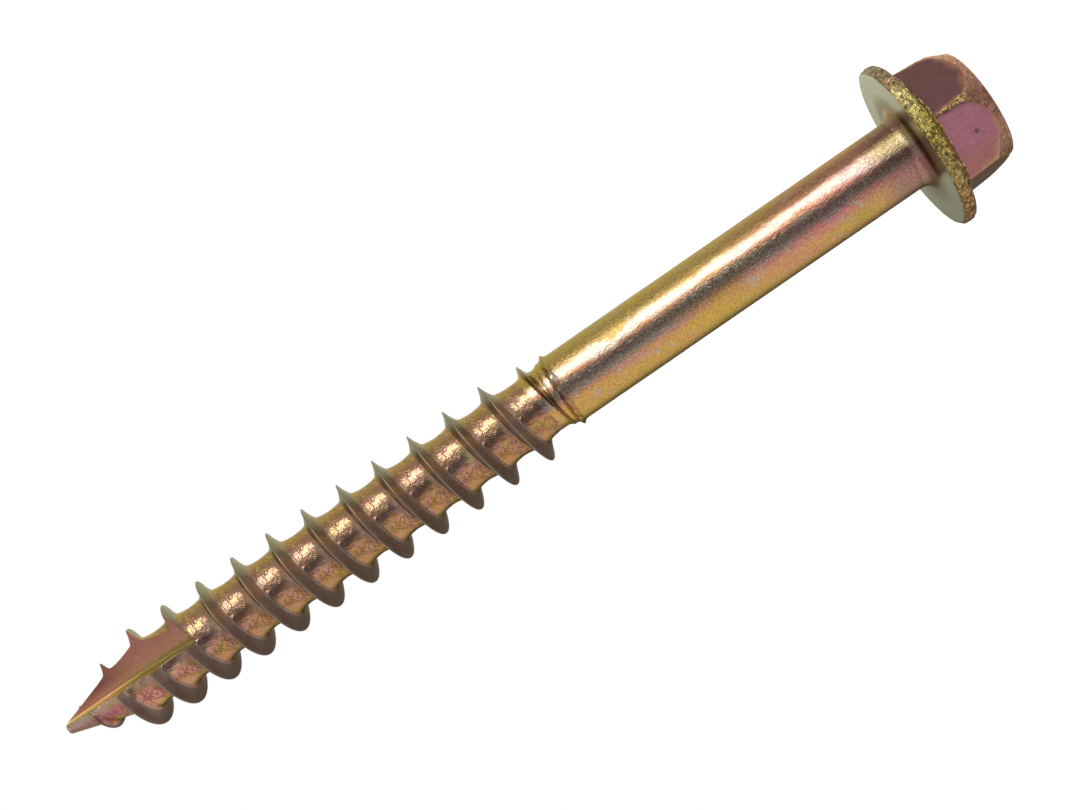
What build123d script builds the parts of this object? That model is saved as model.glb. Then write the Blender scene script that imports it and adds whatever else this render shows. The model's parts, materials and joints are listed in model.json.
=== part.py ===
from build123d import *
import os
from math import cos, radians, sin, sqrt, tan

# Hex washer-head lag screw with a coarse right-hand wood thread and a slash point.
# It is forged, rolled and plated as one piece, so it is one solid.
#
# The screw is modelled point down: its axis is Z, the bearing face under the head is
# z = 0 and the point is below. At the end it is turned over, because it rolls when it
# lies down, and the flat top of its head is what it stands on.

# ------------------------------------------------------------ sizes (mm, degrees)
# Shank
under_head_length = 100.8
shank_diameter = 7.34
neck_fillet = 1.15

# Head: washer flange, drafted hexagon and crown
flange_diameter = 17.8
flange_rim_thickness = 1.4
flange_top_diameter = 14.0
flange_height = 1.95
rim_lower_fillet = 0.35
rim_upper_fillet = 0.5
across_flats = 12.65
hexagon_draft = 2.9
hexagon_turn = 19.5
corner_diameter = 14.5
corner_top_diameter = 13.7
crown_start_height = 5.5
crown_diameter = 11.3
crown_chamfer = 0.3
head_height = 7.65

# Thread: a cone at the point, whole turns of full height, then the run-out
pitch = 4.26
thread_diameter = 10.1
core_diameter = 6.4
leading_flank_angle = 21.5
trailing_flank_angle = 25.0
flank_height = 1.58
root_flare_angle = 55.0
thread_start = 2.2
cone_turns = 1.6
cone_angle = 28.0
cone_start_scale = 0.3
slashed_turns = 2
whole_turns = 9
run_out_turns = 1.05
run_out_angle = 14.5
shoulder_length = 1.95

# Point: a slender cone, then a slimmer one up to the core
tip_diameter = 1.1
point_half_angle = 16.7
point_cone_length = 5.4
point_length = 9.8

# Slash: a quarter of the point, milled away by a disc cutter that runs out upwards
slash_wall_offset = 0.45
slash_corner_fillet = 0.9
slash_flat_length = 5.0
slash_cutter_radius = 15.0
slash_turn = 96.0

# Depth by which a tool or a foot is sunk past the surface that it meets
overshoot = 0.2

# ------------------------------------------------------------ derived sizes
shank_radius = shank_diameter / 2
flange_radius = flange_diameter / 2
core_radius = core_diameter / 2
thread_radius = thread_diameter / 2
thread_height = thread_radius - core_radius
tip_z = -under_head_length
full_turns = slashed_turns + whole_turns
full_thread_start = thread_start + cone_turns * pitch
run_out_start = full_thread_start + full_turns * pitch
thread_end = run_out_start + run_out_turns * pitch


# ------------------------------------------------------------ turned body
# Point, core, shank, neck and washer flange, as one revolved profile.
point_cone_radius = tip_diameter / 2 + point_cone_length * tan(radians(point_half_angle))
shoulder_z = tip_z + thread_end - shoulder_length

with BuildPart() as body:
    with BuildSketch(Plane.XZ) as body_profile:
        with BuildLine():
            tip = Line((0, tip_z), (tip_diameter / 2, tip_z))
            point_cone = Line(tip @ 1, (point_cone_radius, tip_z + point_cone_length))
            point_end = Line(point_cone @ 1, (core_radius, tip_z + point_length))
            core = Line(point_end @ 1, (core_radius, shoulder_z))
            shoulder = Line(core @ 1, (shank_radius, shoulder_z + shoulder_length))
            shank = Line(shoulder @ 1, (shank_radius, -neck_fillet))
            neck = RadiusArc(shank @ 1, (shank_radius + neck_fillet, 0), -neck_fillet)
            bearing_face = Line(neck @ 1, (flange_radius, 0))
            rim = Line(bearing_face @ 1, (flange_radius, flange_rim_thickness))
            flange_slope = Line(rim @ 1, (flange_top_diameter / 2, flange_height))
            Polyline(flange_slope @ 1, (0, flange_height), tip @ 0)
        make_face()
        rim_corners = body_profile.vertices().group_by(Axis.X)[-1].sort_by(Axis.Y)
        fillet(rim_corners[0], radius=rim_lower_fillet)
        fillet(rim_corners[1], radius=rim_upper_fillet)
    revolve(axis=Axis.Z)

# ------------------------------------------------------------ hexagon and crown
# A drafted hexagon, cut to the round envelope of its corners and crown.
with BuildPart() as hexagon:
    with BuildSketch(Plane.XY.offset(flange_rim_thickness)):
        RegularPolygon(across_flats / 2, 6, major_radius=False, rotation=hexagon_turn)
    extrude(amount=head_height - flange_rim_thickness, taper=hexagon_draft)
    with BuildSketch(Plane.XZ) as crown_profile:
        with BuildLine():
            Polyline(
                (0, flange_rim_thickness),
                (corner_diameter / 2, flange_rim_thickness),
                (corner_top_diameter / 2, crown_start_height),
                (crown_diameter / 2, head_height),
                (0, head_height),
                close=True,
            )
        make_face()
        crown_edge = crown_profile.vertices().group_by(Axis.Y)[-1].sort_by(Axis.X)[-1]
        chamfer(crown_edge, length=crown_chamfer)
    revolve(axis=Axis.Z, mode=Mode.INTERSECT)

# ------------------------------------------------------------ thread
# The same V section is swept along four right-hand helices that meet end to end. The
# slash cuts only the first two, so the long one keeps its plain faces.
# In the thread's own frame, its full height starts at angle 0 and z = 0.
foot_depth = thread_height + overshoot


def side_offsets(flank_angle):
    """Return how far one side of the thread lies from its crest at its flank and foot."""
    flank = flank_height * tan(radians(flank_angle))
    foot = flank + (foot_depth - flank_height) * tan(radians(root_flare_angle))
    return flank, foot


def thread_section(crest_point, scale=1.0):
    """Return the thread's section in the radial plane through a point of its crest."""
    leading_flank, leading_foot = side_offsets(leading_flank_angle)
    trailing_flank, trailing_foot = side_offsets(trailing_flank_angle)
    outline = [
        (-foot_depth * scale, -leading_foot * scale),
        (-flank_height * scale, -leading_flank * scale),
        (0, 0),
        (-flank_height * scale, trailing_flank * scale),
        (-foot_depth * scale, trailing_foot * scale),
    ]
    outward = Vector(crest_point.X, crest_point.Y, 0).normalized()
    radial_plane = Plane(origin=crest_point, x_dir=outward, z_dir=outward.cross(Vector(0, 0, 1)))
    with BuildSketch(radial_plane) as section:
        with BuildLine():
            Polyline(*outline, close=True)
        make_face()
    return section.sketch


with BuildLine() as slashed_crest:
    Helix(pitch, slashed_turns * pitch, thread_radius)
with BuildLine() as whole_crest:
    Helix(pitch, whole_turns * pitch, thread_radius, center=(0, 0, slashed_turns * pitch))
with BuildLine() as cone_crest:
    Helix(
        pitch, cone_turns * pitch, thread_radius, direction=(0, 0, -1), cone_angle=-cone_angle
    )
with BuildLine() as run_out_crest:
    Helix(
        pitch,
        run_out_turns * pitch,
        thread_radius,
        center=(0, 0, full_turns * pitch),
        cone_angle=-run_out_angle,
    )

with BuildPart() as cone_thread:
    sweep(
        sections=[
            thread_section(cone_crest.line @ 0),
            thread_section(cone_crest.line @ 1, cone_start_scale),
        ],
        path=cone_crest.line,
        multisection=True,
        is_frenet=True,
        clean=False,
    )

# A helix that runs down starts on the -X side, so the cone is turned to meet the rest.
with BuildPart() as thread:
    for crest in (slashed_crest.line, whole_crest.line, run_out_crest.line):
        sweep(sections=thread_section(crest @ 0), path=crest, is_frenet=True, clean=False)
    add(cone_thread.part, rotation=(0, 0, 180), clean=False)

# ------------------------------------------------------------ slash cutter
# The cutter's side makes the wall and its edge the floor, which passes through the
# screw's axis. x runs along the screw from its tip and y is the height over the floor.
slash_depth = thread_radius + overshoot
run_out_length = sqrt(slash_cutter_radius**2 - (slash_cutter_radius - slash_depth) ** 2)
wall_normal = Vector(sin(radians(slash_turn)), -cos(radians(slash_turn)), 0)
wall_plane = Plane(
    origin=wall_normal * slash_wall_offset + Vector(0, 0, tip_z),
    x_dir=(0, 0, 1),
    z_dir=-wall_normal,
)

with BuildPart() as slash_cutter:
    with BuildSketch(wall_plane):
        with BuildLine():
            flat = Line((-overshoot, 0), (slash_flat_length, 0))
            run_out_end = (slash_flat_length + run_out_length, slash_depth)
            run_out = TangentArc(flat @ 1, run_out_end, tangent=flat % 1)
            Polyline(run_out @ 1, (-overshoot, slash_depth), flat @ 0)
        make_face()
    extrude(amount=-slash_depth)
    wall = slash_cutter.faces().sort_by(Axis((0, 0, 0), wall_normal))[0]
    floor_edges = wall.edges().sort_by(Axis((0, 0, 0), wall_plane.y_dir))[:2]
    fillet(floor_edges, radius=slash_corner_fillet)

# ------------------------------------------------------------ the whole screw
with BuildPart() as screw:
    add(body.part)
    add(hexagon.part)
    with Locations(Location((0, 0, tip_z + full_thread_start), (0, 0, cone_turns * 360))):
        add(thread.part, clean=False)
    add(slash_cutter.part, clean=False, mode=Mode.SUBTRACT)

# The origin is at the middle of the head's flat top, which is the surface it stands on.
standing_plane = Plane(origin=(0, 0, head_height), x_dir=(1, 0, 0), z_dir=(0, 0, -1))

with BuildPart(standing_plane) as lag_screw:
    add(screw.part, clean=False)
lag_screw.part.label = "lag_screw"

os.makedirs("parts", exist_ok=True)
export_step(lag_screw.part, "parts/lag_screw.step")
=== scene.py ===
"""Visual model of a hex washer-head lag screw with a yellow chromated zinc finish.

The screw stands on the flat top of its head, so +Z runs from the head to the point.
Sizes are in millimetres and are turned to metres where a mesh is made.
"""

import json
import logging
import math
from collections.abc import Callable
from dataclasses import dataclass, field
from enum import Enum
from functools import partial

import bmesh
import bpy
from mathutils import Matrix, Vector, noise

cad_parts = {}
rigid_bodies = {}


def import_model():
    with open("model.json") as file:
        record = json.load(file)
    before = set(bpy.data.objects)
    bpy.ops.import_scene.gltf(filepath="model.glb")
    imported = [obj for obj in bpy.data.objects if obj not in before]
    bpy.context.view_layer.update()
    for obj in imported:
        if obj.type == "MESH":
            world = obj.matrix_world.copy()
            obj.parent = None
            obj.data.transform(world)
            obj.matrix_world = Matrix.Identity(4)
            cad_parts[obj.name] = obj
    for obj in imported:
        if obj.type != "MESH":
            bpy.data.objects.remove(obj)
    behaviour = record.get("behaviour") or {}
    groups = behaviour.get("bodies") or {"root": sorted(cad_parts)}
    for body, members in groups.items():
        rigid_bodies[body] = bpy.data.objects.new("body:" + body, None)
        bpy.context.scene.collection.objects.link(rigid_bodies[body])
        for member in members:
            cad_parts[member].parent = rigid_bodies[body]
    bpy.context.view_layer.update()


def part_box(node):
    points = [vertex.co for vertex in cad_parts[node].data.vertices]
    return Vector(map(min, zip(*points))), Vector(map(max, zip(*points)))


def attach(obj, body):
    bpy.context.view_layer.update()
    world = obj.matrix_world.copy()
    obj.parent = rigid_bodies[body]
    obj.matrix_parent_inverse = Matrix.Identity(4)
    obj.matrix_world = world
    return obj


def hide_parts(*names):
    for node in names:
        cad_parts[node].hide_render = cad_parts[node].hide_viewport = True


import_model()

log = logging.getLogger("lag_screw")

MILLIMETRE = 0.001
NODE = "lag_screw"
BODY = "root"
MERGE_DISTANCE = 1e-7
DEGENERATE_SIZE = 1e-8
LEVEL_TOLERANCE = 1e-6
WHITE = "FFFFFF"
QUARTER = math.pi / 2

Place = tuple[float, float]
Stops = tuple[tuple[float, str], ...]


# ---------------------------------------------------------------- small helpers
def linear(hex_colour: str) -> tuple[float, float, float, float]:
    """Turn an sRGB hex colour to linear light.

    Args:
        hex_colour: Six hex digits.

    Returns:
        Red, green, blue and an alpha of 1, all linear.
    """
    channels = [int(hex_colour[i : i + 2], 16) / 255 for i in (0, 2, 4)]
    light = [c / 12.92 if c <= 0.04045 else ((c + 0.055) / 1.055) ** 2.4 for c in channels]
    return light[0], light[1], light[2], 1.0


def smooth_step(low: float, high: float, value: float) -> float:
    """Return 0 at low, 1 at high and a smooth change between them."""
    share = min(1.0, max(0.0, (value - low) / (high - low)))
    return share * share * (3 - 2 * share)


def between(value: float, places: list[Place]) -> float:
    """Read a line drawn through points.

    Args:
        value: Where to read it.
        places: The line's points, in rising order of their first number.

    Returns:
        The second number there, held level past both ends.
    """
    if value <= places[0][0]:
        return places[0][1]
    for (x0, y0), (x1, y1) in zip(places, places[1:]):
        if value <= x1:
            return y0 + (y1 - y0) * (value - x0) / (x1 - x0)
    return places[-1][1]


def lesser(first: float, second: float, blend: float) -> float:
    """Return the lesser of two numbers, rounded off where they meet."""
    return 0.5 * (first + second - math.hypot(first - second, blend))


def line(start: Place, end: Place, steps: int) -> list[Place]:
    """List evenly spaced points of a line, without its start and with its end."""
    shares = [step / steps for step in range(1, steps + 1)]
    return [
        (start[0] + (end[0] - start[0]) * share, start[1] + (end[1] - start[1]) * share)
        for share in shares
    ]


def arc(
    start: Place, across: float, up: float, steps: int, turn: float = QUARTER, level: bool = False
) -> list[Place]:
    """List the points of an arc, without its start.

    Args:
        start: Where it starts.
        across: How far a quarter of a turn goes across, below 0 for inwards.
        up: How far a quarter of a turn goes up.
        steps: How many points it gets.
        turn: How far it turns, in radians.
        level: Whether it sets out level instead of upright.

    Returns:
        The points.
    """
    points = []
    for step in range(1, steps + 1):
        angle = turn * step / steps
        early, late = math.sin(angle), 1 - math.cos(angle)
        out, over = (early, late) if level else (late, early)
        points.append((start[0] + across * out, start[1] + up * over))
    return points


def pick(piece: bpy.types.Object | None) -> None:
    """Select one object alone, so that an operator acts on nothing else.

    Args:
        piece: The object, or None to select nothing.
    """
    if bpy.context.object and bpy.context.object.mode != "OBJECT":
        bpy.ops.object.mode_set(mode="OBJECT")
    bpy.ops.object.select_all(action="DESELECT")
    if piece:
        piece.select_set(True)
        bpy.context.view_layer.objects.active = piece


def add_aimed(
    name: str, data: bpy.types.ID, axes: tuple[Vector, Vector, Vector], position: Vector
) -> bpy.types.Object:
    """Add a camera or lamp with its three axes along the given ones.

    Args:
        name: The new object's name.
        data: The camera or lamp.
        axes: Where its right, its top and its back point.
        position: Its place in metres.

    Returns:
        The new object.
    """
    aimed = bpy.data.objects.new(name, data)
    bpy.context.scene.collection.objects.link(aimed)
    matrix = Matrix(axes).transposed().to_4x4()
    matrix.translation = position
    aimed.matrix_world = matrix
    return aimed


@dataclass
class Spot:
    """One point of a wrapped grid, in mm and radians.

    Worn is 1 on an edge that is rubbed bare, and on the hexagon's corners it also carries
    painted glint. Shifted is 1 where the film shows its other colours: on the thread's
    flanks, round the neck, where they are partly painted shade and painted reflection, on
    the point and along the top of the hexagon. Rolled repeats once per turn of the thread,
    as the marks of a rolling die do.
    """

    radius: float
    angle: float
    height: float
    worn: float = 0.0
    shifted: float = 0.0
    rolled: tuple[float, float, float] | None = None

    def position(self) -> Vector:
        """Give the spot's place in metres."""
        across = self.radius * math.cos(self.angle), self.radius * math.sin(self.angle)
        return Vector((*across, self.height)) * MILLIMETRE


def wrapped_grid(
    name: str,
    columns: int,
    rows: int,
    place: Callable[[int, int], Spot],
    zone_of: Callable[[int], int],
) -> bpy.types.Object:
    """Add a flat grid and wrap it round the screw's axis.

    Args:
        name: The new object's name.
        columns: Faces once round the axis.
        rows: Faces along the axis.
        place: Gives the spot for a column and a row.
        zone_of: Gives the material slot for a row of faces.

    Returns:
        The wrapped grid, its meeting points merged.
    """
    pick(None)
    bpy.ops.mesh.primitive_grid_add(x_subdivisions=columns, y_subdivisions=rows, size=2)
    piece = bpy.context.object
    mesh = piece.data
    piece.name = mesh.name = name
    for face in mesh.polygons:
        face.material_index = zone_of(int((face.center.y + 1) / 2 * rows))
    worn = mesh.attributes.new("worn", "FLOAT", "POINT")
    shifted = mesh.attributes.new("shifted", "FLOAT", "POINT")
    rolled = mesh.attributes.new("rolled", "FLOAT_VECTOR", "POINT")
    for index, vertex in enumerate(mesh.vertices):
        column = round((vertex.co.x + 1) / 2 * columns)
        row = round((vertex.co.y + 1) / 2 * rows)
        spot = place(column, row)
        vertex.co = spot.position()
        worn.data[index].value = spot.worn
        shifted.data[index].value = spot.shifted
        rolled.data[index].vector = spot.rolled or spot.position() / MILLIMETRE
    bpy.ops.object.mode_set(mode="EDIT")
    bpy.ops.mesh.select_all(action="SELECT")
    bpy.ops.mesh.remove_doubles(threshold=MERGE_DISTANCE)
    bpy.ops.mesh.dissolve_degenerate(threshold=DEGENERATE_SIZE)
    bpy.ops.object.mode_set(mode="OBJECT")
    return piece


# ---------------------------------------------------------------- finishes
class Zone(Enum):
    """The places on the screw whose surfaces were made in different ways."""

    THREAD = 0
    SHANK = 1
    BEARING = 2
    RIM = 3
    HEXAGON = 4
    CROWN = 5
    SLASH = 6


Socket = bpy.types.NodeSocket
Value = float | tuple[float, ...] | Socket


def add_node(
    tree: bpy.types.NodeTree,
    kind: str,
    inputs: tuple[Value, ...] | dict[str | int, Value] = (),
    out: str | int = 0,
    **settings: object,
) -> Socket:
    """Add a node, set it and link it.

    Args:
        tree: The material's or world's nodes.
        kind: Blender's name for the node's type, without its ShaderNode.
        inputs: A value or another node's output for each input, in the order of the
            node's inputs, or by name or place.
        out: The wanted output, by name or place.
        **settings: Values for the node's own properties.

    Returns:
        The wanted output.
    """
    node = tree.nodes.new("ShaderNode" + kind)
    for name, value in settings.items():
        setattr(node, name, value)
    for name, value in (inputs if isinstance(inputs, dict) else dict(enumerate(inputs))).items():
        if isinstance(value, Socket):
            tree.links.new(value, node.inputs[name])
        else:
            node.inputs[name].default_value = value
    return node.outputs[out]


def set_ramp(colour: Socket, stops: Stops) -> Socket:
    """Give a colour ramp its colours.

    Args:
        colour: The ramp's output.
        stops: Places from 0 to 1, each with an sRGB hex colour.

    Returns:
        The same output.
    """
    ramp = colour.node.color_ramp
    for element, (place, shade) in zip(ramp.elements, (stops[0], stops[-1])):
        element.position, element.color = place, linear(shade)
    for place, shade in stops[1:-1]:
        ramp.elements.new(place).color = linear(shade)
    return colour


@dataclass(frozen=True)
class Texture:
    """One layer of unevenness: its grain size and its depth, both in mm.

    A stretch over 1 draws the grain out along the screw's axis. A creased layer is
    folded into fine lines that gather in clusters.
    """

    size: float
    depth: float
    stretch: float = 1.0
    detail: float = 2.0
    drift: float = 0.0
    rolled: bool = False
    root_only: bool = False
    worn_only: bool = False
    creased: bool = False
    crease_width: float = 0.16
    cluster_scale: float = 0.55
    cluster_gap: Place = (0.5, 0.38)


@dataclass(frozen=True)
class ChromatedZinc:
    """Electroplated zinc under a yellow chromate film, a clear skin that splits light.

    The film gives the eye gold, olive, salmon and pink that drift into each other over
    a few millimetres. Under it the steel keeps the texture of the tool that shaped it.
    Grain and patch sizes are in mm, and pairs are the low and high end of a range.
    """

    name: str
    film: Stops
    # The stops round the screw hold the film's colours with painted highlight and painted shade.
    side_film_and_painted_light: Stops
    end_film_and_painted_light: Stops = ()
    end_places: Place = (0.0, 1.0)
    end_drift: float = 0.8
    shifted_film_and_painted_light: Stops = ()
    side_radius: float = 0.0
    side_share: float = 0.75
    side_drift: float = 0.35
    film_gloss: float = 0.3
    film_roughness: float = 0.2
    film_patch: float = 4.0
    film_stretch: float = 1.0
    film_drift: float = 0.6
    film_range: Place = (0.32, 0.68)
    speckle: Place = (0.68, 1.28)
    speckle_size: float = 0.22
    speckle_range: Place = (0.3, 0.7)
    bare_colour: str = "9A9CA0"
    bare_from: float = 0.9
    bare_fade: float = 0.1
    bare_patch: float = 1.2
    scoured_range: Place = (0.4, 0.54)
    scoured_least: float = 0.15
    # The colour of rubbed metal; on the hexagon's corners partly painted glint.
    worn_colour_and_painted_glint: str = "CFC9B4"
    worn_roughness: float = 0.2
    worn_range: Place = (0.38, 0.56)
    shifted_roughness: float = 0.0
    dent: tuple[float, float, float] | None = None
    dent_radius: float = 0.3
    dent_depth: float = 0.15
    dent_colour: str = "6A5A50"
    roughness: Place = (0.22, 0.36)
    roughness_range: Place = (0.35, 0.65)
    edge_tint: str = "D9CC9A"
    textures: tuple[Texture, ...] = ()

    def make(self) -> bpy.types.Material:
        """Build the finish.

        Returns:
            The material.
        """
        material = bpy.data.materials.new(self.name)
        material.use_nodes = True
        tree = material.node_tree
        add = partial(add_node, tree)
        place = add("TexCoord", out="Object")
        parts = add("SeparateXYZ", (place,)).node.outputs
        across = add("CombineXYZ", (parts["X"], parts["Y"]))
        radius = add("VectorMath", (across,), "Value", operation="LENGTH")
        worn = add("Attribute", out="Fac", attribute_name="worn")
        rolled = add("Attribute", out="Vector", attribute_name="rolled")
        shifted = add("Attribute", out="Fac", attribute_name="shifted")
        root = add("Math", (1.0, shifted), operation="SUBTRACT")
        colour = self.film_colour(add, place, parts, radius, shifted)

        # The zinc's crystals, drawn a little coarser than they are so that they show.
        fine = 1 / (self.speckle_size * MILLIMETRE)
        crystals = add("TexNoise", dict(Vector=place, Scale=fine, Detail=3.0, Roughness=0.55))
        shade = add("MapRange", (crystals, *self.speckle_range, *self.speckle))
        tone = add("CombineColor", (shade, shade, shade))
        colour = add(
            "Mix", {0: 1.0, 6: colour, 7: tone}, 2, data_type="RGBA", blend_type="MULTIPLY"
        )

        # Rubbed spots, where bare zinc shows, and worn edges.
        patch = 1 / (self.bare_patch * MILLIMETRE)
        spots = add(
            "TexNoise",
            dict(Vector=place, Scale=patch, Detail=5.0, Roughness=0.7, Distortion=0.4),
        )
        bare = add("MapRange", (spots, self.bare_from, self.bare_from + self.bare_fade))
        for share, places, least, metal in (
            (bare, self.scoured_range, self.scoured_least, self.bare_colour),
            (worn, self.worn_range, 0.0, self.worn_colour_and_painted_glint),
        ):
            broken = add("MapRange", (crystals, *places, least))
            rubbed = add("Math", (share, broken), operation="MULTIPLY")
            colour = add("Mix", {0: rubbed, 6: colour, 7: linear(metal)}, 2, data_type="RGBA")

        # The dent and the textures, each added to the height in metres.
        height: Value = 0.0
        if self.dent:
            middle = tuple(c * MILLIMETRE for c in self.dent)
            away = add("VectorMath", (place, middle), "Value", operation="DISTANCE")
            hollow = add(
                "MapRange",
                (away, self.dent_radius * MILLIMETRE, 0.0),
                interpolation_type="SMOOTHSTEP",
            )
            colour = add(
                "Mix", {0: hollow, 6: colour, 7: linear(self.dent_colour)}, 2, data_type="RGBA"
            )
            height = add("Math", (hollow, -self.dent_depth * MILLIMETRE), operation="MULTIPLY")
        for texture in self.textures:
            source = rolled if texture.rolled else place
            grain = self.grain(add, texture, source)
            for chosen, share in ((texture.root_only, root), (texture.worn_only, worn)):
                if chosen:
                    grain = add("Math", (grain, share), operation="MULTIPLY")
            depth = texture.depth * MILLIMETRE
            height = add("Math", (grain, depth, height), operation="MULTIPLY_ADD")
        normal = add("Bump", {"Height": height, "Strength": 1.0, "Distance": 1.0})
        roughness = add("MapRange", (spots, *self.roughness_range, *self.roughness))
        for share, added in ((worn, self.worn_roughness), (shifted, self.shifted_roughness)):
            roughness = add("Math", (share, added, roughness), operation="MULTIPLY_ADD")
        shader = tree.nodes["Principled BSDF"].inputs
        shader["Metallic"].default_value = 1.0
        shader["Specular Tint"].default_value = linear(self.edge_tint)
        shader["Coat Weight"].default_value = self.film_gloss
        shader["Coat Roughness"].default_value = self.film_roughness
        tree.links.new(colour, shader["Base Color"])
        tree.links.new(roughness, shader["Roughness"])
        tree.links.new(normal, shader["Normal"])
        return material

    def film_colour(
        self,
        add: Callable[..., Socket],
        place: Socket,
        parts: bpy.types.NodeOutputs,
        radius: Socket,
        shifted: Socket,
    ) -> Socket:
        """Colour the film.

        Patches drift along the screw, over a colour that changes from side to side and
        from end to end. That colour is partly the film's own and partly painted highlight
        and painted shade, its stops set to the strip lamp's highlight and the dark band.

        Args:
            add: Adds a node to the material.
            place: The place on the screw.
            parts: The same, as X, Y and Z.
            radius: The distance from the axis.
            shifted: 1 where the film shows its other colours.

        Returns:
            The colour.
        """
        patch = 1 / (self.film_patch * MILLIMETRE)
        scale = (patch, patch, patch / self.film_stretch)
        drawn = add("Mapping", {"Vector": place, "Scale": scale})
        patches = add(
            "TexNoise",
            dict(Vector=drawn, Scale=1.0, Detail=4.0, Roughness=0.6, Distortion=self.film_drift),
        )
        spread = add("MapRange", (patches, *self.film_range))
        film = set_ramp(add("ValToRGB", (spread,)), self.film)
        reach = self.side_radius * MILLIMETRE if self.side_radius else radius
        side = add("Math", (parts["X"], reach), operation="DIVIDE")
        wander = add("Math", (patches, 1.0, -0.5), operation="MULTIPLY_ADD")
        side = add("Math", (side, 0.5, 0.5), operation="MULTIPLY_ADD")
        side = add("Math", (wander, self.side_drift, side), operation="MULTIPLY_ADD")
        # Colour from side to side: film colours with painted highlight and painted shade.
        side_colour_and_painted_light = set_ramp(add("ValToRGB", (side,)), self.side_film_and_painted_light)
        if self.end_film_and_painted_light:
            # Towards one end: film colours with their own painted highlight and painted shade.
            end = set_ramp(add("ValToRGB", (side,)), self.end_film_and_painted_light)
            along = add(
                "MapRange",
                (parts["Z"], *(end_place * MILLIMETRE for end_place in self.end_places)),
                interpolation_type="SMOOTHSTEP",
                clamp=False,
            )
            ragged = add(
                "Math", (wander, self.end_drift, along), operation="MULTIPLY_ADD", use_clamp=True
            )
            side_colour_and_painted_light = add("Mix", {0: ragged, 6: side_colour_and_painted_light, 7: end}, 2, data_type="RGBA")
        colour = add("Mix", {0: self.side_share, 6: film, 7: side_colour_and_painted_light}, 2, data_type="RGBA")
        if self.shifted_film_and_painted_light:
            # The other colours; round the neck they are painted reflection and painted shade.
            other = set_ramp(add("ValToRGB", (side,)), self.shifted_film_and_painted_light)
            colour = add("Mix", {0: shifted, 6: colour, 7: other}, 2, data_type="RGBA")
        return colour

    def grain(self, add: Callable[..., Socket], texture: Texture, source: Socket) -> Socket:
        """Draw one layer of unevenness.

        Args:
            add: Adds a node to the material.
            texture: The layer.
            source: The place on the screw, in metres, or in the rolling die, in mm.

        Returns:
            The layer's height, from 0 to 1.
        """
        scale = 1 / (texture.size * (1.0 if texture.rolled else MILLIMETRE))
        scales = (scale, scale, scale / texture.stretch)
        drawn = add("Mapping", {"Vector": source, "Scale": scales})
        look = dict(Scale=1.0, Detail=texture.detail, Roughness=0.55, Distortion=texture.drift)
        grain = add("TexNoise", {"Vector": drawn, **look})
        if texture.creased:
            centred = add("Math", (grain, 0.5), operation="SUBTRACT")
            folded = add("Math", (centred,), operation="ABSOLUTE")
            clusters = add("TexNoise", dict(Vector=drawn, Scale=texture.cluster_scale, Detail=0.0))
            gap = add("MapRange", (clusters, *texture.cluster_gap))
            grain = add(
                "MapRange",
                (folded, 0.0, texture.crease_width, gap),
                interpolation_type="SMOOTHSTEP",
            )
        return grain


# Film colours; the grey is set where the shank's dark reflection falls.
OLIVE, GOLD, SALMON, GREY_UNDER_DARK_REFLECTION = "AC9A48", "BE9A4C", "C08A68", "A49A90"

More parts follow.
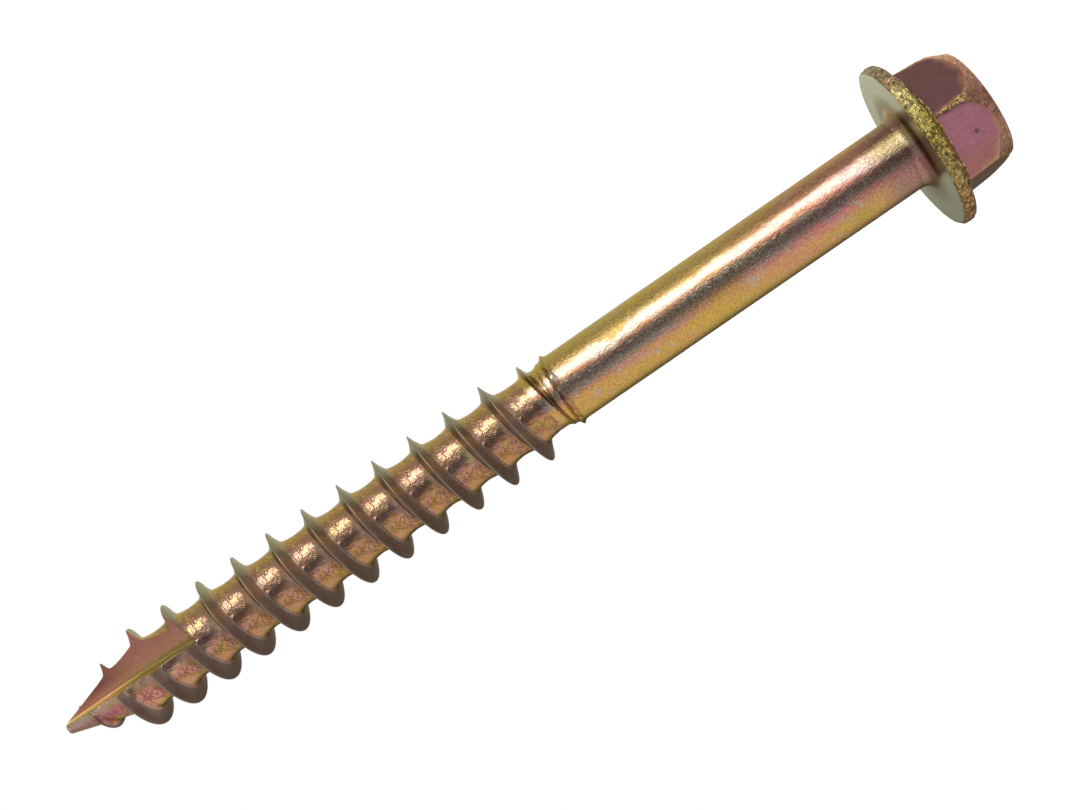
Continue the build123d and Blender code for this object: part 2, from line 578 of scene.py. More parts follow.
FINISHES = {
    # Gold and rose in small patches on the creased core, and pale satin flanks. Round the
    # core the stops are set to the strip lamp's highlight and the dark band beside it,
    # painted highlight and painted shade, and the flanks' stops are set side by side to
    # their shading, partly painted light.
    Zone.THREAD: ChromatedZinc(
        "yellow zinc on rolled thread",
        film=(
            (0.0, "BC9C40"), (0.3, "B88A4A"), (0.5, "BC7C62"), (0.68, "B07478"), (1.0, "C8A64C"),
        ),
        # Set to the highlight and the dark band: painted highlight and painted shade over the
        # film's colours.
        side_film_and_painted_light=(
            (0.0, "A8864A"), (0.12, "A87E48"), (0.22, "98744A"), (0.34, "AA7C5A"),
            (0.46, "9C857C"), (0.54, "BCA08A"), (0.64, "AE9878"), (0.74, "B4967C"),
            (0.8, "A4826A"), (0.87, "A88C4C"), (1.0, "A09450"),
        ),
        end_film_and_painted_light=(
            (0.0, "D8B080"), (0.12, "D08C84"), (0.26, "E47C9C"), (0.4, "F0C4A8"),
            (0.52, "F4DCBC"), (0.7, "E4CC94"), (1.0, "A69C54"),
        ),
        end_places=(90.0, 104.0),
        # The flanks, lightened side by side: partly painted light.
        shifted_film_and_painted_light=(
            (0.0, "A4897C"), (0.14, "9E867A"), (0.25, "AD9E94"), (0.42, "C8BAB4"),
            (0.56, "C0AA98"), (0.66, "D4B498"), (0.73, "AE998A"), (0.79, "9E8A77"),
            (0.86, "968C6C"), (0.94, "9E9A7C"), (1.0, "A6A68A"),
        ),
        side_share=0.6,
        film_patch=1.3,
        bare_from=0.74,
        speckle=(0.84, 1.14),
        roughness=(0.12, 0.2),
        worn_colour_and_painted_glint="9A967C",
        worn_roughness=0.1,
        shifted_roughness=0.32,
        textures=(
            Texture(0.16, 0.008, detail=3.0),
            Texture(
                1.15, 0.045, drift=1.8, rolled=True, root_only=True, creased=True, crease_width=0.07
            ),
            Texture(1.4, 0.04, rolled=True, root_only=True),
            Texture(0.45, 0.06, rolled=True, root_only=True, detail=3.0),
        ),
    ),
    # Bands of olive, gold and grey along glossy drawn steel, with small bare spots. The pale
    # stops lie under the strip lamp's highlight, a painted highlight narrowed by darker
    # stops at its edges, the grey lies where the dark reflection falls, and round the neck
    # darker stops are painted shade.
    Zone.SHANK: ChromatedZinc(
        "yellow zinc on drawn shank",
        film=((0.0, OLIVE), (0.3, GOLD), (0.55, SALMON), (0.8, "B8887A"), (1.0, GOLD)),
        # Pale under the strip lamp's highlight, a painted highlight; grey under the dark
        # reflection.
        side_film_and_painted_light=(
            (0.0, "A88E44"), (0.12, "BE9C3C"), (0.24, "C49846"), (0.34, "C08A68"), (0.42, GREY_UNDER_DARK_REFLECTION),
            (0.53, GREY_UNDER_DARK_REFLECTION), (0.6, "B88C68"), (0.67, "E0D2C4"), (0.735, "DCCAB0"), (0.79, "AC9450"),
            (0.87, "B8A048"), (1.0, "B4A44A"),
        ),
        # Near the head: a pinker painted highlight, narrowed by darker stops.
        end_film_and_painted_light=(
            (0.0, "A88C4A"), (0.1, "B68E50"), (0.2, "BC7C62"), (0.28, "BE7674"), (0.34, "C26C7E"),
            (0.42, "988888"), (0.53, "9C8884"), (0.6, "C07C70"), (0.67, "E0C6C4"),
            (0.735, "D8B4B0"), (0.785, "90605A"), (0.88, "9A685E"), (1.0, "B88E62"),
        ),
        end_places=(34.0, 14.0),
        # Round the neck: darker stops, painted shade on the highlight and the fillet.
        shifted_film_and_painted_light=(
            (0.0, "947260"), (0.3, "A06C64"), (0.42, "947A72"), (0.6, "90685E"), (0.66, "AC9878"),
            (0.77, "A49060"), (0.84, "7C584A"), (1.0, "90705A"),
        ),
        side_drift=0.55,
        film_stretch=3.0,
        bare_from=0.585,
        bare_patch=1.3,
        bare_colour="A8A498",
        speckle=(0.76, 1.2),
        roughness=(0.1, 0.17),
        textures=(
            Texture(0.13, 0.045, stretch=2.5, detail=3.0),
            Texture(0.6, 0.008, stretch=2.0),
            Texture(3.0, 0.02, stretch=2.5),
        ),
    ),
    # An even, pale grey-green where the die pressed the face smooth, with a brown ring round
    # the neck that is a painted reflection of the shank.
    Zone.BEARING: ChromatedZinc(
        "yellow zinc on pressed bearing face",
        film=((0.0, "BABCA4"), (0.5, "C2C4B0"), (1.0, "B4B094")),
        side_film_and_painted_light=((0.0, "94988E"), (0.5, "B8BBAE"), (1.0, "E2E4D8")),
        # Brown towards the neck: painted reflection of the shank.
        shifted_film_and_painted_light=((0.0, "84706A"), (0.5, "8A7068"), (1.0, "94867A")),
        film_stretch=3.0,
        edge_tint="D2CEA6",
        speckle=(0.88, 1.08),
        roughness=(0.26, 0.34),
        textures=(Texture(0.4, 0.003), Texture(2.5, 0.02)),
    ),
    # Strong gold flecks over a coarse forged skin. The pale gold stops on the lamp's side
    # are a painted highlight, and the wide speckle range paints glints and dark pits,
    # partly painted light and shade.
    Zone.RIM: ChromatedZinc(
        "yellow zinc on forged rim",
        film=((0.0, "94844C"), (0.4, "BCA450"), (0.7, "CCB468"), (1.0, "BC9068")),
        # Pale gold on the lamp's side: painted highlight.
        side_film_and_painted_light=(
            (0.0, "B08468"), (0.1, "B08058"), (0.28, "A8905C"), (0.5, "B8A450"), (0.62, "E4D078"),
            (0.78, "F0DC98"), (0.85, "B08870"), (0.92, "98807C"), (1.0, "988C88"),
        ),
        film_patch=1.0,
        bare_from=0.66,
        bare_patch=0.6,
        speckle=(0.1, 1.5),
        speckle_size=0.36,
        roughness=(0.08, 0.16),
        textures=(Texture(0.5, 0.46, detail=3.0), Texture(0.2, 0.05, detail=2.0)),
    ),
    # Rose and brown flats, with light gold where the corners are rubbed. The gold is bright
    # and kept mostly to the +X side: partly painted glint.
    Zone.HEXAGON: ChromatedZinc(
        "yellow zinc on pressed flats",
        film=((0.0, "9E6470"), (0.45, "A5687A"), (0.75, "A06A62"), (1.0, "8E6A55")),
        side_film_and_painted_light=(
            (0.0, "9A6A50"), (0.2, "A56A64"), (0.3, "AC6E7E"), (0.55, "AC6E7C"), (0.64, "7A5852"),
            (1.0, "7A5850"),
        ),
        shifted_film_and_painted_light=((0.0, "BC967C"), (0.3, "B88068"), (0.6, "B07864"), (1.0, "C08A74")),
        side_share=0.75,
        side_drift=0.15,
        film_patch=3.0,
        bare_from=0.74,
        # Bright gold on the rubbed corners: partly painted glint.
        worn_colour_and_painted_glint="D8BC60",
        worn_roughness=0.0,
        speckle=(0.84, 1.12),
        dent=(-2.0, -5.82, 2.9),
        roughness=(0.26, 0.36),
        textures=(
            Texture(0.3, 0.006),
            Texture(1.2, 0.014),
            Texture(0.3, 0.14, worn_only=True, detail=3.0),
        ),
    ),
    # Warm salmon over fine forging marks, lighter towards +X, a painted highlight.
    Zone.CROWN: ChromatedZinc(
        "yellow zinc on forged crown",
        film=((0.0, "A0705A"), (0.5, "B8806A"), (0.75, "C89878"), (1.0, "A88868")),
        # Lighter towards +X: painted highlight.
        side_film_and_painted_light=((0.0, "BC967C"), (0.3, "B88068"), (0.6, "C48C74"), (1.0, "F8BCA0")),
        side_share=0.92,
        film_patch=1.4,
        bare_from=0.6,
        bare_patch=0.45,
        bare_colour="D0B090",
        speckle=(0.5, 1.35),
        speckle_size=0.3,
        roughness=(0.26, 0.4),
        textures=(Texture(0.3, 0.1, detail=3.0), Texture(1.0, 0.04)),
    ),
    # Matt yellow-green and pink halves, drawn out along the mill's cut.
    Zone.SLASH: ChromatedZinc(
        "yellow zinc on milled slash",
        film=((0.0, "B07064"), (0.4, "D8907E"), (0.6, "ECB09A"), (1.0, "D09A78")),
        side_film_and_painted_light=(
            (0.0, "8C8C44"), (0.585, "9CA048"), (0.6, "B09C54"), (0.66, "DBAE85"),
            (0.74, "DB9E88"), (1.0, "C78779"),
        ),
        end_film_and_painted_light=(
            (0.0, "CCC060"), (0.58, "E0DC78"), (0.6, "E0A880"), (0.67, "DC9488"),
            (0.79, "8C584C"),
        ),
        end_places=(98.0, 105.0),
        side_radius=3.0,
        side_share=0.82,
        side_drift=0.06,
        film_patch=0.3,
        film_stretch=24.0,
        film_drift=0.0,
        bare_from=0.78,
        speckle=(0.92, 1.06),
        roughness=(0.5, 0.6),
        textures=(Texture(0.14, 0.02, stretch=18.0), Texture(0.5, 0.012, stretch=6.0)),
    ),
}


# ---------------------------------------------------------------- the screw's pieces
@dataclass
class Point:
    """The slender point below the thread, with a small blunt end."""

    length: float = 9.8
    cone_length: float = 5.4
    cone_half_angle: float = 16.7
    tip_radius: float = 0.55
    tip_rounding: float = 0.2
    tip_flatness: float = 0.4
    film_share: float = 0.5
    film_places: Place = (5.5, 2.0)

    def radius(self, from_tip: float, core_radius: float) -> float:
        """Give the point's radius.

        Args:
            from_tip: Distance from the tip along the axis, in mm.
            core_radius: Radius of the thread's core, which the point grows into.

        Returns:
            The radius there, in mm.
        """
        widening = self.cone_length * math.tan(math.radians(self.cone_half_angle))
        places = [
            (0.0, self.tip_radius - self.tip_rounding),
            (self.tip_rounding * self.tip_flatness, self.tip_radius),
            (self.cone_length, self.tip_radius + widening),
            (self.length, core_radius),
        ]
        return between(from_tip, places)


@dataclass
class Thread:
    """The coarse right-hand wood thread, with its core, run-out and collar.

    Each side of the ridge has a steep edge over a flatter flank, and its two angles
    are in that order. The leading side faces the point. The collar and the ring are
    each a distance from the tip and a height.
    """

    pitch: float = 4.26
    core_radius: float = 3.2
    crest_radius: float = 5.05
    crest_width: float = 0.1
    edge_height: float = 0.75
    flank_height: float = 0.83
    leading_angles: Place = (14.0, 25.0)
    trailing_angles: Place = (20.0, 28.0)
    root_fade: float = 0.6
    least_scale: float = 0.12
    first_crest: float = 2.2
    start_from_tip: float = 1.9
    start_reach: Place = (-0.6, 0.8)
    full_from_tip: float = 9.0
    cone_angle: float = 28.0
    run_out_from_tip: float = 56.2
    end_from_tip: float = 60.3
    crest_offset: float = 0.13
    collar: Place = (60.05, 0.36)
    ring: Place = (59.2, 0.13)
    collar_width: float = 0.22
    worn_width: float = 0.09
    worn_raised: Place = (0.1, 0.5)
    film_raised: Place = (0.2, 0.5)

    def ridge(self, offset: float) -> float:
        """Give the height of a full ridge over the core.

        Args:
            offset: Distance from the crest along the axis, in mm, below 0 on the
                side of the point.

        Returns:
            The height there, in mm.
        """
        edge_angle, flank_angle = self.trailing_angles if offset > 0 else self.leading_angles
        full = self.crest_radius - self.core_radius
        crest = self.crest_width / 2
        edge = crest + self.edge_height * math.tan(math.radians(edge_angle))
        flank = edge + self.flank_height * math.tan(math.radians(flank_angle))
        foot_height = full - self.edge_height - self.flank_height
        away = abs(offset)
        if away > flank:
            return foot_height * math.exp((flank - away) / self.root_fade)
        return between(away, [(crest, full), (edge, full - self.edge_height), (flank, foot_height)])

    def crest_height(self, from_tip: float, angle: float, body_radius: float) -> float:
        """Give the height of the crest over the body at one place of the helix.

        Args:
            from_tip: The crest's distance from the tip, in mm.
            angle: The crest's angle round the axis, in radians.
            body_radius: The body's radius there, in mm.

        Returns:
            The crest's height in mm, 0 where there is no thread.
        """
        short = max(0.0, self.full_from_tip - from_tip)
        rising = self.crest_radius - short * math.tan(math.radians(self.cone_angle))
        falling = between(
            from_tip,
            [(self.run_out_from_tip, self.crest_radius), (self.end_from_tip, self.core_radius)],
        )
        height = min(rising, falling) - body_radius
        start, end = (self.start_from_tip + reach for reach in self.start_reach)
        height *= smooth_step(start, end, from_tip)
        return max(0.0, height * (1 - self.crest_offset / 2 * math.cos(angle)))


@dataclass
class Shank:
    """The plain shank between the thread and the head."""

    radius: float = 3.67
    shoulder_from_tip: float = 58.5
    start_from_tip: float = 60.3
    neck_radius: float = 1.15
    # Where the darker neck colours fade in over the floor, partly painted shade.
    neck_film_and_painted_shade: Place = (14.0, 10.2)


@dataclass
class Slash:
    """The quarter of the point that is milled away by a disc cutter."""

    wall_offset: float = 0.45
    corner_radius: float = 0.25
    flat_length: float = 6.2
    cutter_radius: float = 18.0
    turn: float = 96.0
    depth: float = 5.6
    overrun: float = 0.3
    arc_steps: int = 24
    corner_steps: int = 6
    digits: int = 7

    def cutter(self, total_height: float) -> bpy.types.Object:
        """Model the solid that the cutter takes away.

        Args:
            total_height: The screw's height, in mm, where its tip is.

        Returns:
            The closed solid, in place.
        """
        sine, cosine = math.sin(math.radians(self.turn)), math.cos(math.radians(self.turn))
        wall_normal, floor_normal = Vector((sine, cosine, 0)), Vector((cosine, -sine, 0))
        tip = Vector((0, 0, total_height)) + wall_normal * self.wall_offset
        reach, flat_end = self.cutter_radius, (self.flat_length, 0.0)
        run_out = math.acos((reach - self.depth) / reach)
        floor = [
            (-self.overrun, 0.0),
            flat_end,
            *arc(flat_end, reach, reach, self.arc_steps, run_out, level=True),
        ]
        points = [
            (tip + floor_normal * over - Vector((0, 0, along))) * MILLIMETRE
            for along, over in (*floor, (-self.overrun, self.depth))
        ]
        pick(None)
        bpy.ops.mesh.primitive_circle_add(vertices=len(points), fill_type="NGON", radius=1)
        piece = bpy.context.object
        piece.name = "slash_cutter"
        for vertex, point in zip(piece.data.vertices, points):
            vertex.co = point
        bpy.ops.object.mode_set(mode="EDIT")
        bpy.ops.mesh.select_all(action="SELECT")
        bpy.ops.mesh.extrude_region_move(
            TRANSFORM_OT_translate={"value": wall_normal * self.depth * MILLIMETRE}
        )
        bpy.ops.mesh.select_all(action="SELECT")
        bpy.ops.mesh.normals_make_consistent(inside=False)
        bpy.ops.mesh.select_all(action="DESELECT")
        bpy.ops.object.mode_set(mode="OBJECT")

        # Round the corner where the floor of the slash meets its wall.
        corner = {tuple(round(c, self.digits) for c in point) for point in points[: len(floor)]}
        for edge in piece.data.edges:
            ends = [piece.data.vertices[i].co for i in edge.vertices]
            edge.select = all(tuple(round(c, self.digits) for c in end) in corner for end in ends)
        bpy.ops.object.mode_set(mode="EDIT")
        bpy.ops.mesh.select_mode(type="EDGE")
        bpy.ops.mesh.bevel(
            offset=self.corner_radius * MILLIMETRE, segments=self.corner_steps, profile=0.5
        )
        bpy.ops.object.mode_set(mode="OBJECT")
        return piece


@dataclass
class Head:
    """The washer flange, the drafted hexagon and its crown.

    Rows holds the first row of faces of each finish; the outline fills it in. A
    crowding over 1 draws rows together towards the edge between hexagon and crown.
    """

    shank: Shank
    height: float = 7.65
    columns: int = 240
    flange_radius: float = 8.9
    rim_thickness: float = 1.4
    rim_lower_rounding: float = 0.35
    rim_upper_rounding: float = 0.5
    rim_upper_turn: float = 74.0
    flange_top_radius: float = 7.0
    flange_height: float = 1.95
    across_flats: float = 12.65
    hexagon_draft: float = 2.9
    hexagon_turn: float = 19.5
    corner_radius: float = 7.25
    corner_top_radius: float = 6.85
    crown_start: float = 5.5
    crown_search: float = 1.0
    crown_halvings: int = 40
    crown_top_radius: float = 5.65
    crown_rounding: float = 0.28
    crown_gap: float = 0.05
    crown_blend: float = 0.2
    foot_rounding: float = 0.22
    corner_blend: float = 0.08
    corner_wear: Place = (0.035, 0.09)
    corner_spread: float = 0.06
    # Wear and its painted glint, kept mostly to the +X side.
    worn_and_glint_side: Place = (-5.0, -1.0)
    least_wear_and_glint: float = 0.2
    rough_grain: float = 0.6
    rough_depth: float = 0.16
    rough_fineness: float = 2.1
    rough_fine_share: float = 0.5
    crown_roughness: float = 0.5
    border_width: float = 0.75
    border_grain: float = 0.8
    border_raggedness: float = 0.5
    # Radii over which the bearing face browns towards the neck: painted reflection of the shank.
    painted_neck_reflection: Place = (6.8, 4.9)
    neck_steps: int = 6
    bearing_steps: int = 14
    rounding_steps: int = 3
    rim_steps: int = 3
    rim_upper_steps: int = 4
    slope_steps: int = 8
    wall_steps: int = 14
    wall_crowding: float = 1.6
    crown_steps: int = 9
    crown_crowding: float = 1.4
    top_steps: int = 8
    rows: dict[Zone, int] = field(default_factory=lambda: {Zone.SHANK: 0})

    def hexagon_radius(self, angle: float, over_bearing: float) -> float:
        """Give the hexagon's own radius.

        Args:
            angle: Angle round the axis, in radians.
            over_bearing: Height over the bearing face, in mm.

        Returns:
            The radius there, in mm.
        """
        sixth = math.pi / 3
        from_middle = (angle + math.radians(self.hexagon_turn)) % sixth - sixth / 2
        draft = math.tan(math.radians(self.hexagon_draft))
        flat = self.across_flats / 2 - (over_bearing - self.rim_thickness) * draft
        return flat / math.cos(from_middle)

    def envelope_radius(self, over_bearing: float) -> float:
        """Give the radius of the round envelope of the corners, in mm."""
        return between(
            over_bearing,
            [(self.rim_thickness, self.corner_radius), (self.crown_start, self.corner_top_radius)],
        )

    def corner_cut(self, angle: float, over_bearing: float) -> float:
        """Find how far the envelope has cut a corner off.

        Args:
            angle: Angle round the axis, in radians.
            over_bearing: Height over the bearing face, in mm.

        Returns:
            1 where it is cut and 0 on the flats.
        """
        spread = smooth_step(self.rim_thickness, self.crown_start, over_bearing)
        cut = self.hexagon_radius(angle, over_bearing) - self.envelope_radius(over_bearing)
        return smooth_step(*self.corner_wear, cut + self.corner_spread * spread)

    def roughened(self, radius: float, angle: float, over_bearing: float) -> float:
        """Find how deep one point of a rough surface is sunk.

        Args:
            radius: The smooth surface's radius, in mm.
            angle: Angle round the axis, in radians.
            over_bearing: Height over the bearing face, in mm.

        Returns:
            The depth in mm, from 0 to the roughness.
        """
        place = Vector((radius * math.cos(angle), radius * math.sin(angle), over_bearing))
        hill = noise.noise(place / self.rough_grain)
        hill += self.rough_fine_share * noise.noise(place * self.rough_fineness / self.rough_grain)
        return self.rough_depth * min(1.0, max(0.0, 0.5 + hill))

    def wall_radius(self, angle: float, over_bearing: float) -> float:
        """Give the wall's radius, in mm: the hexagon, its corners cut to the envelope."""
        hexagon = self.hexagon_radius(angle, over_bearing)
        return lesser(hexagon, self.envelope_radius(over_bearing), self.corner_blend)

    def crown_radius(self, over_bearing: float) -> float:
        """Give the crown's radius at a height over the bearing face, both in mm."""
        return self.crown_top_radius + (self.corner_top_radius - self.crown_top_radius) * (
            self.height - over_bearing
        ) / (self.height - self.crown_start)

    def wall_top(self, angle: float) -> float:
        """Find where the wall meets the crown.

        Args:
            angle: Angle round the axis, in radians.

        Returns:
            The height there over the bearing face, in mm.
        """
        low, high = self.crown_start - self.crown_search, self.height
        for _ in range(self.crown_halvings):
            middle = (low + high) / 2
            if self.wall_radius(angle, middle) < self.crown_radius(middle):
                low = middle
            else:
                high = middle
        return low

    def outline(self, angle: float) -> list[Place]:
        """List the points of the head's profile at one angle.

        Args:
            angle: Angle round the axis, in radians.

        Returns:
            Radius and height over the bearing face, in mm, from the shank outwards
            and down to the middle of the head's flat top. Every angle gives as many.
        """
        neck, few = self.shank.neck_radius, self.rounding_steps
        points = [(self.shank.radius, -neck)]
        points += arc(points[0], neck, neck, self.neck_steps)

        self.rows[Zone.BEARING] = len(points) - 1
        bearing_end = (self.flange_radius - self.rim_lower_rounding, 0.0)
        points += line(points[-1], bearing_end, self.bearing_steps)

        self.rows[Zone.RIM] = len(points) - 1
        lower, upper = self.rim_lower_rounding, self.rim_upper_rounding
        points += arc(bearing_end, lower, lower, few, level=True)
        rim_top = (self.flange_radius, self.rim_thickness - upper)
        points += line((self.flange_radius, lower), rim_top, self.rim_steps)
        rim_turn = math.radians(self.rim_upper_turn)
        points += arc(rim_top, -upper, upper, self.rim_upper_steps, rim_turn)
        slope_start = points[-1]

        def on_slope(radius: float) -> Place:
            """Give the place on the flange's upper face at a radius."""
            ends = slope_start, (self.flange_top_radius, self.flange_height)
            return radius, between(-radius, [(-end[0], end[1]) for end in ends])

        foot = self.foot_rounding
        foot_start = on_slope(self.wall_radius(angle, self.flange_height) + foot)
        slope = line(slope_start, foot_start, self.slope_steps)
        points += [on_slope(radius) for radius, _ in slope]
        points += arc(foot_start, -foot, foot, few, level=True)

        def rounded(height: float) -> Place:
            """Give the place where the wall rounds over into the crown, at a height."""
            wall, crown = self.wall_radius(angle, height), self.crown_radius(height)
            return lesser(wall, crown, self.crown_blend), height

        self.rows[Zone.HEXAGON] = len(points) - 1
        wall_base, wall_top = points[-1][1], self.wall_top(angle)
        for step in range(1, self.wall_steps + 1):
            share = 1 - (1 - step / self.wall_steps) ** self.wall_crowding
            points.append(rounded(wall_base + (wall_top - self.crown_gap - wall_base) * share))

        self.rows[Zone.CROWN] = len(points) - 1
        edge = self.crown_rounding
        crown_end = self.height - edge
        for step in range(self.crown_steps + 1):
            share = (step / self.crown_steps) ** self.crown_crowding
            points.append(rounded(wall_top + (crown_end - wall_top) * share))
        points += arc((points[-1][0], crown_end), -edge, edge, few)
        points += line((points[-1][0], self.height), (0.0, self.height), self.top_steps)
        return points

    def model(self) -> bpy.types.Object:
        """Model the head from the neck to the middle of its flat top.

        Returns:
            The open surface, in place.
        """
        angles = [
            2 * math.pi * (column % self.columns) / self.columns
            for column in range(self.columns + 1)
        ]
        outlines = [self.outline(angle) for angle in angles]
        bearing, rim = self.rows[Zone.BEARING], self.rows[Zone.RIM]
        hexagon, crown = self.rows[Zone.HEXAGON], self.rows[Zone.CROWN]
        rim_end = rim + self.rounding_steps + self.rim_steps + self.rim_upper_steps

        def place(column: int, row: int) -> Spot:
            """Put one point of the grid on the head.

            Args:
                column: Its column, counted round the axis.
                row: Its row, counted along the axis.

            Returns:
                The point.
            """
            angle = angles[column]
            radius, over_bearing = outlines[column][row]
            worn, rough, shifted = 0.0, 0.0, 0.0
            if hexagon <= row <= crown:
                worn = self.corner_cut(angle, over_bearing)
                # Keep the rubbed gold, partly painted glint, mostly to the +X side.
                side = smooth_step(*self.worn_and_glint_side, radius * math.cos(angle))
                worn *= max(self.least_wear_and_glint, side)
                rough = worn
            elif rim < row < rim_end:
                rough = 1.0
            elif crown < row and over_bearing < self.height:
                rough = self.crown_roughness
            if rough:
                radius -= rough * self.roughened(radius, angle, over_bearing)
            if row <= bearing:
                shifted = 1.0
            elif row < rim:
                # The bearing face browns towards the neck: painted reflection of the shank.
                shifted = smooth_step(*self.painted_neck_reflection, radius)
            elif hexagon < row <= crown:
                spot = Spot(radius, angle, over_bearing).position()
                ragged = noise.noise(spot / (self.border_grain * MILLIMETRE))
                below = outlines[column][crown + 1][1] - over_bearing
                below += self.border_raggedness * ragged * self.border_width
                shifted = smooth_step(self.border_width, 0.0, below)
            return Spot(radius, angle, self.height - over_bearing, worn, shifted)

        def zone_of(row: int) -> int:
            """Name the finish of one row of faces."""
            return max(zone.value for zone, first in self.rows.items() if row >= first)

        return wrapped_grid("head", self.columns, len(outlines[0]) - 1, place, zone_of)


@dataclass
class Screw:
    """The whole screw: one piece of steel from the point to the head.

    The rows of one turn of the thread crowd towards its crest.
    """

    total_height: float
    columns: int = 120
    rows_per_turn: int = 24
    row_crowding: float = 1.7
    smooth_angle: float = 32.0
    point: Point = field(default_factory=Point)
    thread: Thread = field(default_factory=Thread)
    shank: Shank = field(default_factory=Shank)
    slash: Slash = field(default_factory=Slash)

    def __post_init__(self) -> None:
        """Make the head and note the height of the neck, where it meets the shank."""
        self.head = Head(self.shank)
        self.neck_height = self.head.height + self.shank.neck_radius

    def body_radius(self, from_tip: float) -> float:
        """Give the radius without the thread.

        Args:
            from_tip: Distance from the tip along the axis, in mm.

        Returns:
            The radius of point, core, collar or shank there, in mm.
        """
        thread = self.thread
        core = self.point.radius(from_tip, thread.core_radius)
        rise = smooth_step(self.shank.shoulder_from_tip, self.shank.start_from_tip, from_tip)
        radius = core + (self.shank.radius - core) * rise
        for place, height in (thread.collar, thread.ring):
            radius += height * math.exp(-(((from_tip - place) / thread.collar_width) ** 2))
        return radius

    def model_shaft(self) -> bpy.types.Object:
        """Model the point, the thread and the shank in rows that follow the helix.

        Returns:
            The open surface, in place.
        """
        thread = self.thread
        full = thread.crest_radius - thread.core_radius
        half = self.rows_per_turn // 2
        length = self.total_height - self.neck_height
        rows = (math.ceil(length / thread.pitch) + 2) * self.rows_per_turn

        def place(column: int, row: int) -> Spot:
            """Put one point of the grid on the shaft.

            Args:
                column: Its column, counted round the axis.
                row: Its row, counted along the axis.

            Returns:
                The point.
            """
            turn, step = divmod(row, self.rows_per_turn)
            share = (step - half) / half
            offset = math.copysign(abs(share) ** self.row_crowding, share) * thread.pitch / 2
            angle = 2 * math.pi * column / self.columns
            crest = thread.first_crest + thread.pitch * (turn - 1 - column / self.columns)
            from_tip = min(length, max(0.0, crest + offset))
            height = thread.crest_height(crest, angle, self.body_radius(max(0.0, crest)))
            scale = max(thread.least_scale, height / full)
            raised = height * thread.ridge(offset / scale) / full
            on_crest = smooth_step(thread.worn_width, 0.0, abs(offset))
            turned = 2 * math.pi * offset / thread.pitch
            ring = thread.core_radius + math.cos(turned) * thread.pitch / (2 * math.pi)
            over_floor = self.total_height - from_tip
            return Spot(
                self.body_radius(from_tip) + raised,
                angle,
                over_floor,
                smooth_step(*thread.worn_raised, raised) * on_crest,
                max(
                    smooth_step(*thread.film_raised, raised),
                    smooth_step(*self.shank.neck_film_and_painted_shade, over_floor),
                    self.point.film_share * smooth_step(*self.point.film_places, from_tip),
                ),
                (
                    ring * math.cos(angle),
                    ring * math.sin(angle),
                    math.sin(turned) * thread.pitch / (2 * math.pi),
                ),
            )

        def zone_of(row: int) -> int:
            """Name the finish of one row of faces."""
            from_tip = thread.first_crest + thread.pitch * (row / self.rows_per_turn - 1.5)
            return (Zone.THREAD if from_tip < thread.end_from_tip else Zone.SHANK).value

        return wrapped_grid("shaft", self.columns, rows, place, zone_of)

    def model(self) -> bpy.types.Object:
        """Model the whole screw as one closed surface and mill its slash.

        Returns:
            The screw, in place.
        """
        shaft, head = self.model_shaft(), self.head.model()
        finishes = [FINISHES[zone].make() for zone in Zone]
        for part in (shaft, head):
            for finish in finishes:
                part.data.materials.append(finish)
        pick(shaft)
        head.select_set(True)
        bpy.ops.object.join()
        bpy.ops.object.mode_set(mode="EDIT")
        bpy.ops.mesh.select_all(action="DESELECT")
        bpy.ops.mesh.select_mode(type="EDGE")
        bpy.ops.object.mode_set(mode="OBJECT")

        # Join the head's open edge to the shaft's, then close the hole at the tip.
        mesh = bmesh.new()
        mesh.from_mesh(shaft.data)
        neck = self.neck_height * MILLIMETRE
        for edge in mesh.edges:
            level = all(abs(v.co.z - neck) < LEVEL_TOLERANCE for v in edge.verts)
            edge.select = edge.is_boundary and level
        mesh.to_mesh(shaft.data)
        mesh.free()
        bpy.ops.object.mode_set(mode="EDIT")
        bpy.ops.mesh.bridge_edge_loops()
        bpy.ops.mesh.select_all(action="DESELECT")
        bpy.ops.mesh.select_non_manifold(extend=False)
        bpy.ops.mesh.edge_face_add()
        bpy.ops.mesh.select_all(action="SELECT")
        bpy.ops.mesh.remove_doubles(threshold=MERGE_DISTANCE)
        bpy.ops.mesh.normals_make_consistent(inside=False)
        bpy.ops.object.mode_set(mode="OBJECT")

        cutter = self.slash.cutter(self.total_height)
        cutter.data.materials.append(shaft.data.materials[Zone.SLASH.value])
        pick(shaft)
        milling = shaft.modifiers.new("milling", "BOOLEAN")
        milling.object, milling.operation = cutter, "DIFFERENCE"
        milling.solver, milling.material_mode = "EXACT", "TRANSFER"
        bpy.ops.object.modifier_apply(modifier=milling.name)
        bpy.data.objects.remove(cutter)
        pick(shaft)
        bpy.ops.object.shade_smooth_by_angle(angle=math.radians(self.smooth_angle))
        shaft.name = shaft.data.name = "screw_body"
        return shaft


# ---------------------------------------------------------------- camera and light
@dataclass(frozen=True)
class Camera:
    """The camera, which looks level at the screw from the front, rolled to one side.

    Distances are in mm, except for the clip range, which is in metres.
    """

    lens: float = 55.293
    sensor_width: float = 36.0
    clip: Place = (0.01, 10.0)
    distance: float = 161.94
    height: float = 40.27
    tilt: float = 3.81
    roll: float = 34.566

    def place(self) -> None:
        """Make the camera and set it as the scene's."""
        tilt, roll = math.radians(self.tilt), math.radians(self.roll)
        along = Vector((0, math.sin(tilt), -math.cos(tilt)))
        across = Vector((1, 0, 0))
        right = along * math.cos(roll) - across * math.sin(roll)
        up = along * math.sin(roll) + across * math.cos(roll)
        position = Vector((0, -self.distance, self.height)) * MILLIMETRE
        data = bpy.data.cameras.new("camera")
        data.lens = self.lens
        data.sensor_width = self.sensor_width
        data.clip_start, data.clip_end = self.clip
        bpy.context.scene.camera = add_aimed("camera", data, (right, up, right.cross(up)), position)


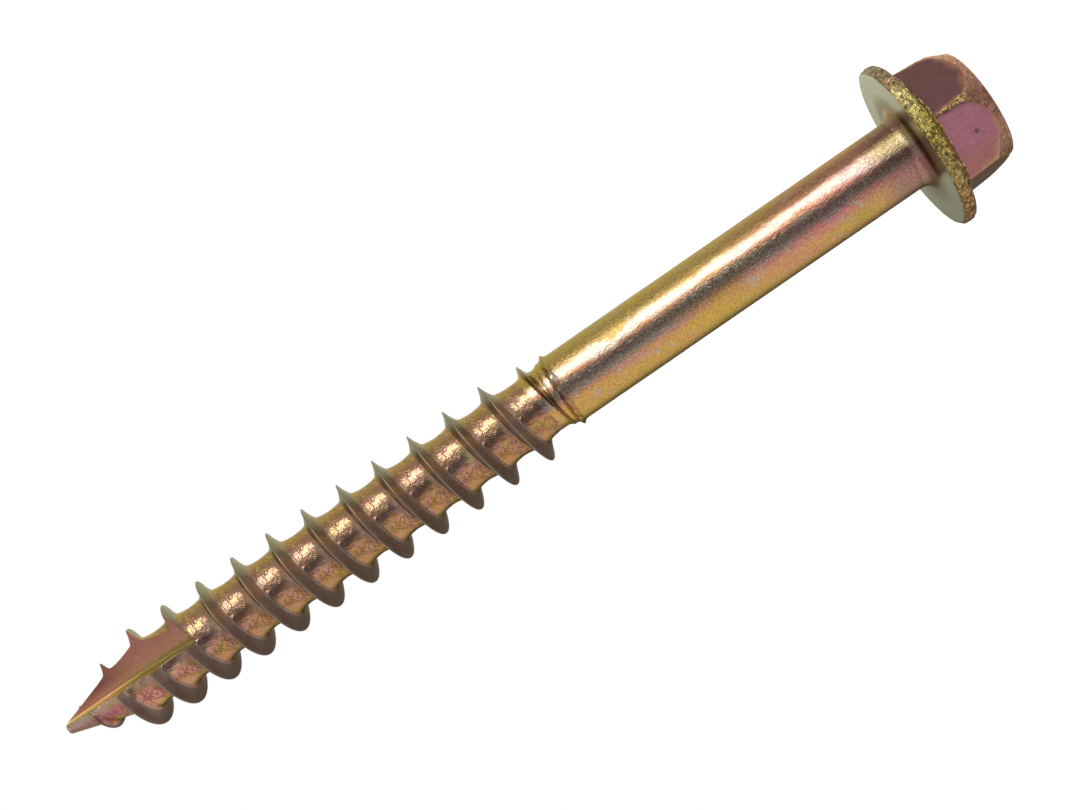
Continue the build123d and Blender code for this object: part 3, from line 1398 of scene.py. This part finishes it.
@dataclass(frozen=True)
class Studio:
    """A pale floor in a white room, with a strip lamp and a dark side by the camera.

    Sizes are in metres. The room's stops go once round it, and the stops below go
    from straight down to straight up.
    """

    floor_size: float = 3.0
    floor_colour: str = "F7F7F7"
    floor_roughness: float = 0.9
    floor_lift: float = 0.8
    lamp_bearing: float = 48.6
    lamp_distance: float = 0.45
    lamp_width: float = 0.21
    lamp_length: float = 0.44
    lamp_power: float = 0.85
    lamp_colour: str = "FFFBF4"
    middle_height: float = 0.105
    room: Stops = (
        (0.0, "D8D8D8"), (0.016, "A8A8A8"), (0.035, "888888"), (0.06, "787878"), (0.09, "585858"),
        (0.125, "B4B4B4"), (0.16, "F0F0F0"), (0.2, "FFFFFF"), (0.39, "FFFFFF"), (0.42, "CFCFCF"),
        (0.446, "929292"), (0.475, "707070"), (0.525, "707070"), (0.551, "929292"),
        (0.58, "D8D8D8"), (0.6, "FFFFFF"), (0.67, "F0F0F0"), (0.7, "C8C8C8"), (0.75, "C4C4C4"),
        (0.8, "D8D8D8"), (0.845, "F4F4F4"), (0.93, "FFFFFF"), (0.98, "FFFFFF"), (1.0, "D8D8D8"),
    )
    below: Stops = ((0.0, "D0D0D0"), (0.2, "E4E4E4"), (0.38, "FFFFFF"), (1.0, "FFFFFF"))
    ceiling_colour: str = "BEBEBE"
    ceiling_from: Place = (0.4, 0.6)

    def build(self) -> None:
        """Make the floor, the room and the lamp."""
        self.lay_floor()
        self.paint_room()
        bearing = math.radians(self.lamp_bearing)
        towards, upwards = Vector((math.sin(bearing), -math.cos(bearing), 0)), Vector((0, 0, 1))
        data = bpy.data.lights.new("strip lamp", "AREA")
        data.shape = "RECTANGLE"
        data.size, data.size_y = self.lamp_width, self.lamp_length
        data.energy = self.lamp_power
        data.color = linear(self.lamp_colour)[:3]
        position = towards * self.lamp_distance + upwards * self.middle_height
        axes = (upwards.cross(towards), upwards, towards)
        add_aimed("strip lamp", data, axes, position).visible_camera = False
        bpy.context.scene.view_settings.view_transform = "Standard"

    def lay_floor(self) -> None:
        """Make the floor, which the screw stands on."""
        pick(None)
        bpy.ops.mesh.primitive_plane_add(size=self.floor_size)
        floor = bpy.context.object
        floor.name = "floor"
        paint = bpy.data.materials.new("matt white paint")
        paint.use_nodes = True
        tree = paint.node_tree
        shader = tree.nodes["Principled BSDF"].inputs
        shader["Base Color"].default_value = linear(self.floor_colour)
        shader["Roughness"].default_value = self.floor_roughness
        shader["Specular IOR Level"].default_value = 0.0
        shader["Emission Color"].default_value = linear(WHITE)
        seen = add_node(tree, "LightPath", out="Is Camera Ray")
        glow = add_node(tree, "Math", (seen, self.floor_lift), operation="MULTIPLY")
        tree.links.new(glow, shader["Emission Strength"])
        floor.data.materials.append(paint)
        floor.visible_glossy = False

    def paint_room(self) -> None:
        """Make the room: white behind the screw, dark where the camera stands."""
        world = bpy.data.worlds.new("white room")
        world.use_nodes = True
        bpy.context.scene.world = world
        add = partial(add_node, world.node_tree)
        towards = add("TexCoord", out="Generated")
        parts = add("SeparateXYZ", (towards,)).node.outputs
        ahead = add("Math", (parts["Y"], -1.0), operation="MULTIPLY")
        level = add("CombineXYZ", (ahead, parts["X"]))
        bearing = add("TexGradient", (level,), "Fac", gradient_type="RADIAL")
        walls = set_ramp(add("ValToRGB", (bearing,)), self.room)
        rise = add("MapRange", (parts["Z"], -1.0, 1.0))
        shade = set_ramp(add("ValToRGB", (rise,)), self.below)
        shaded = add(
            "Mix", {0: 1.0, 6: walls, 7: shade}, 2, data_type="RGBA", blend_type="MULTIPLY"
        )
        overhead = add(
            "MapRange", (parts["Z"], *self.ceiling_from), interpolation_type="SMOOTHSTEP"
        )
        ceiling = linear(self.ceiling_colour)
        shaded = add("Mix", {0: overhead, 6: shaded, 7: ceiling}, 2, data_type="RGBA")
        seen = add("LightPath", out="Is Camera Ray")
        colour = add("Mix", {0: seen, 6: shaded, 7: linear(WHITE)}, 2, data_type="RGBA")
        background = world.node_tree.nodes["Background"].inputs["Color"]
        world.node_tree.links.new(colour, background)


def main() -> None:
    """Build the screw, its finish and the studio, in order."""
    logging.basicConfig(level=logging.INFO, format="%(message)s")
    total_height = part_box(NODE)[1].z / MILLIMETRE
    screw = Screw(total_height)
    body = screw.model()
    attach(body, BODY)
    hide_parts(NODE)
    log.info("screw body: %d faces", len(body.data.polygons))
    Camera().place()
    Studio().build()
    bpy.context.view_layer.update()


if __name__ == "__main__":
    main()
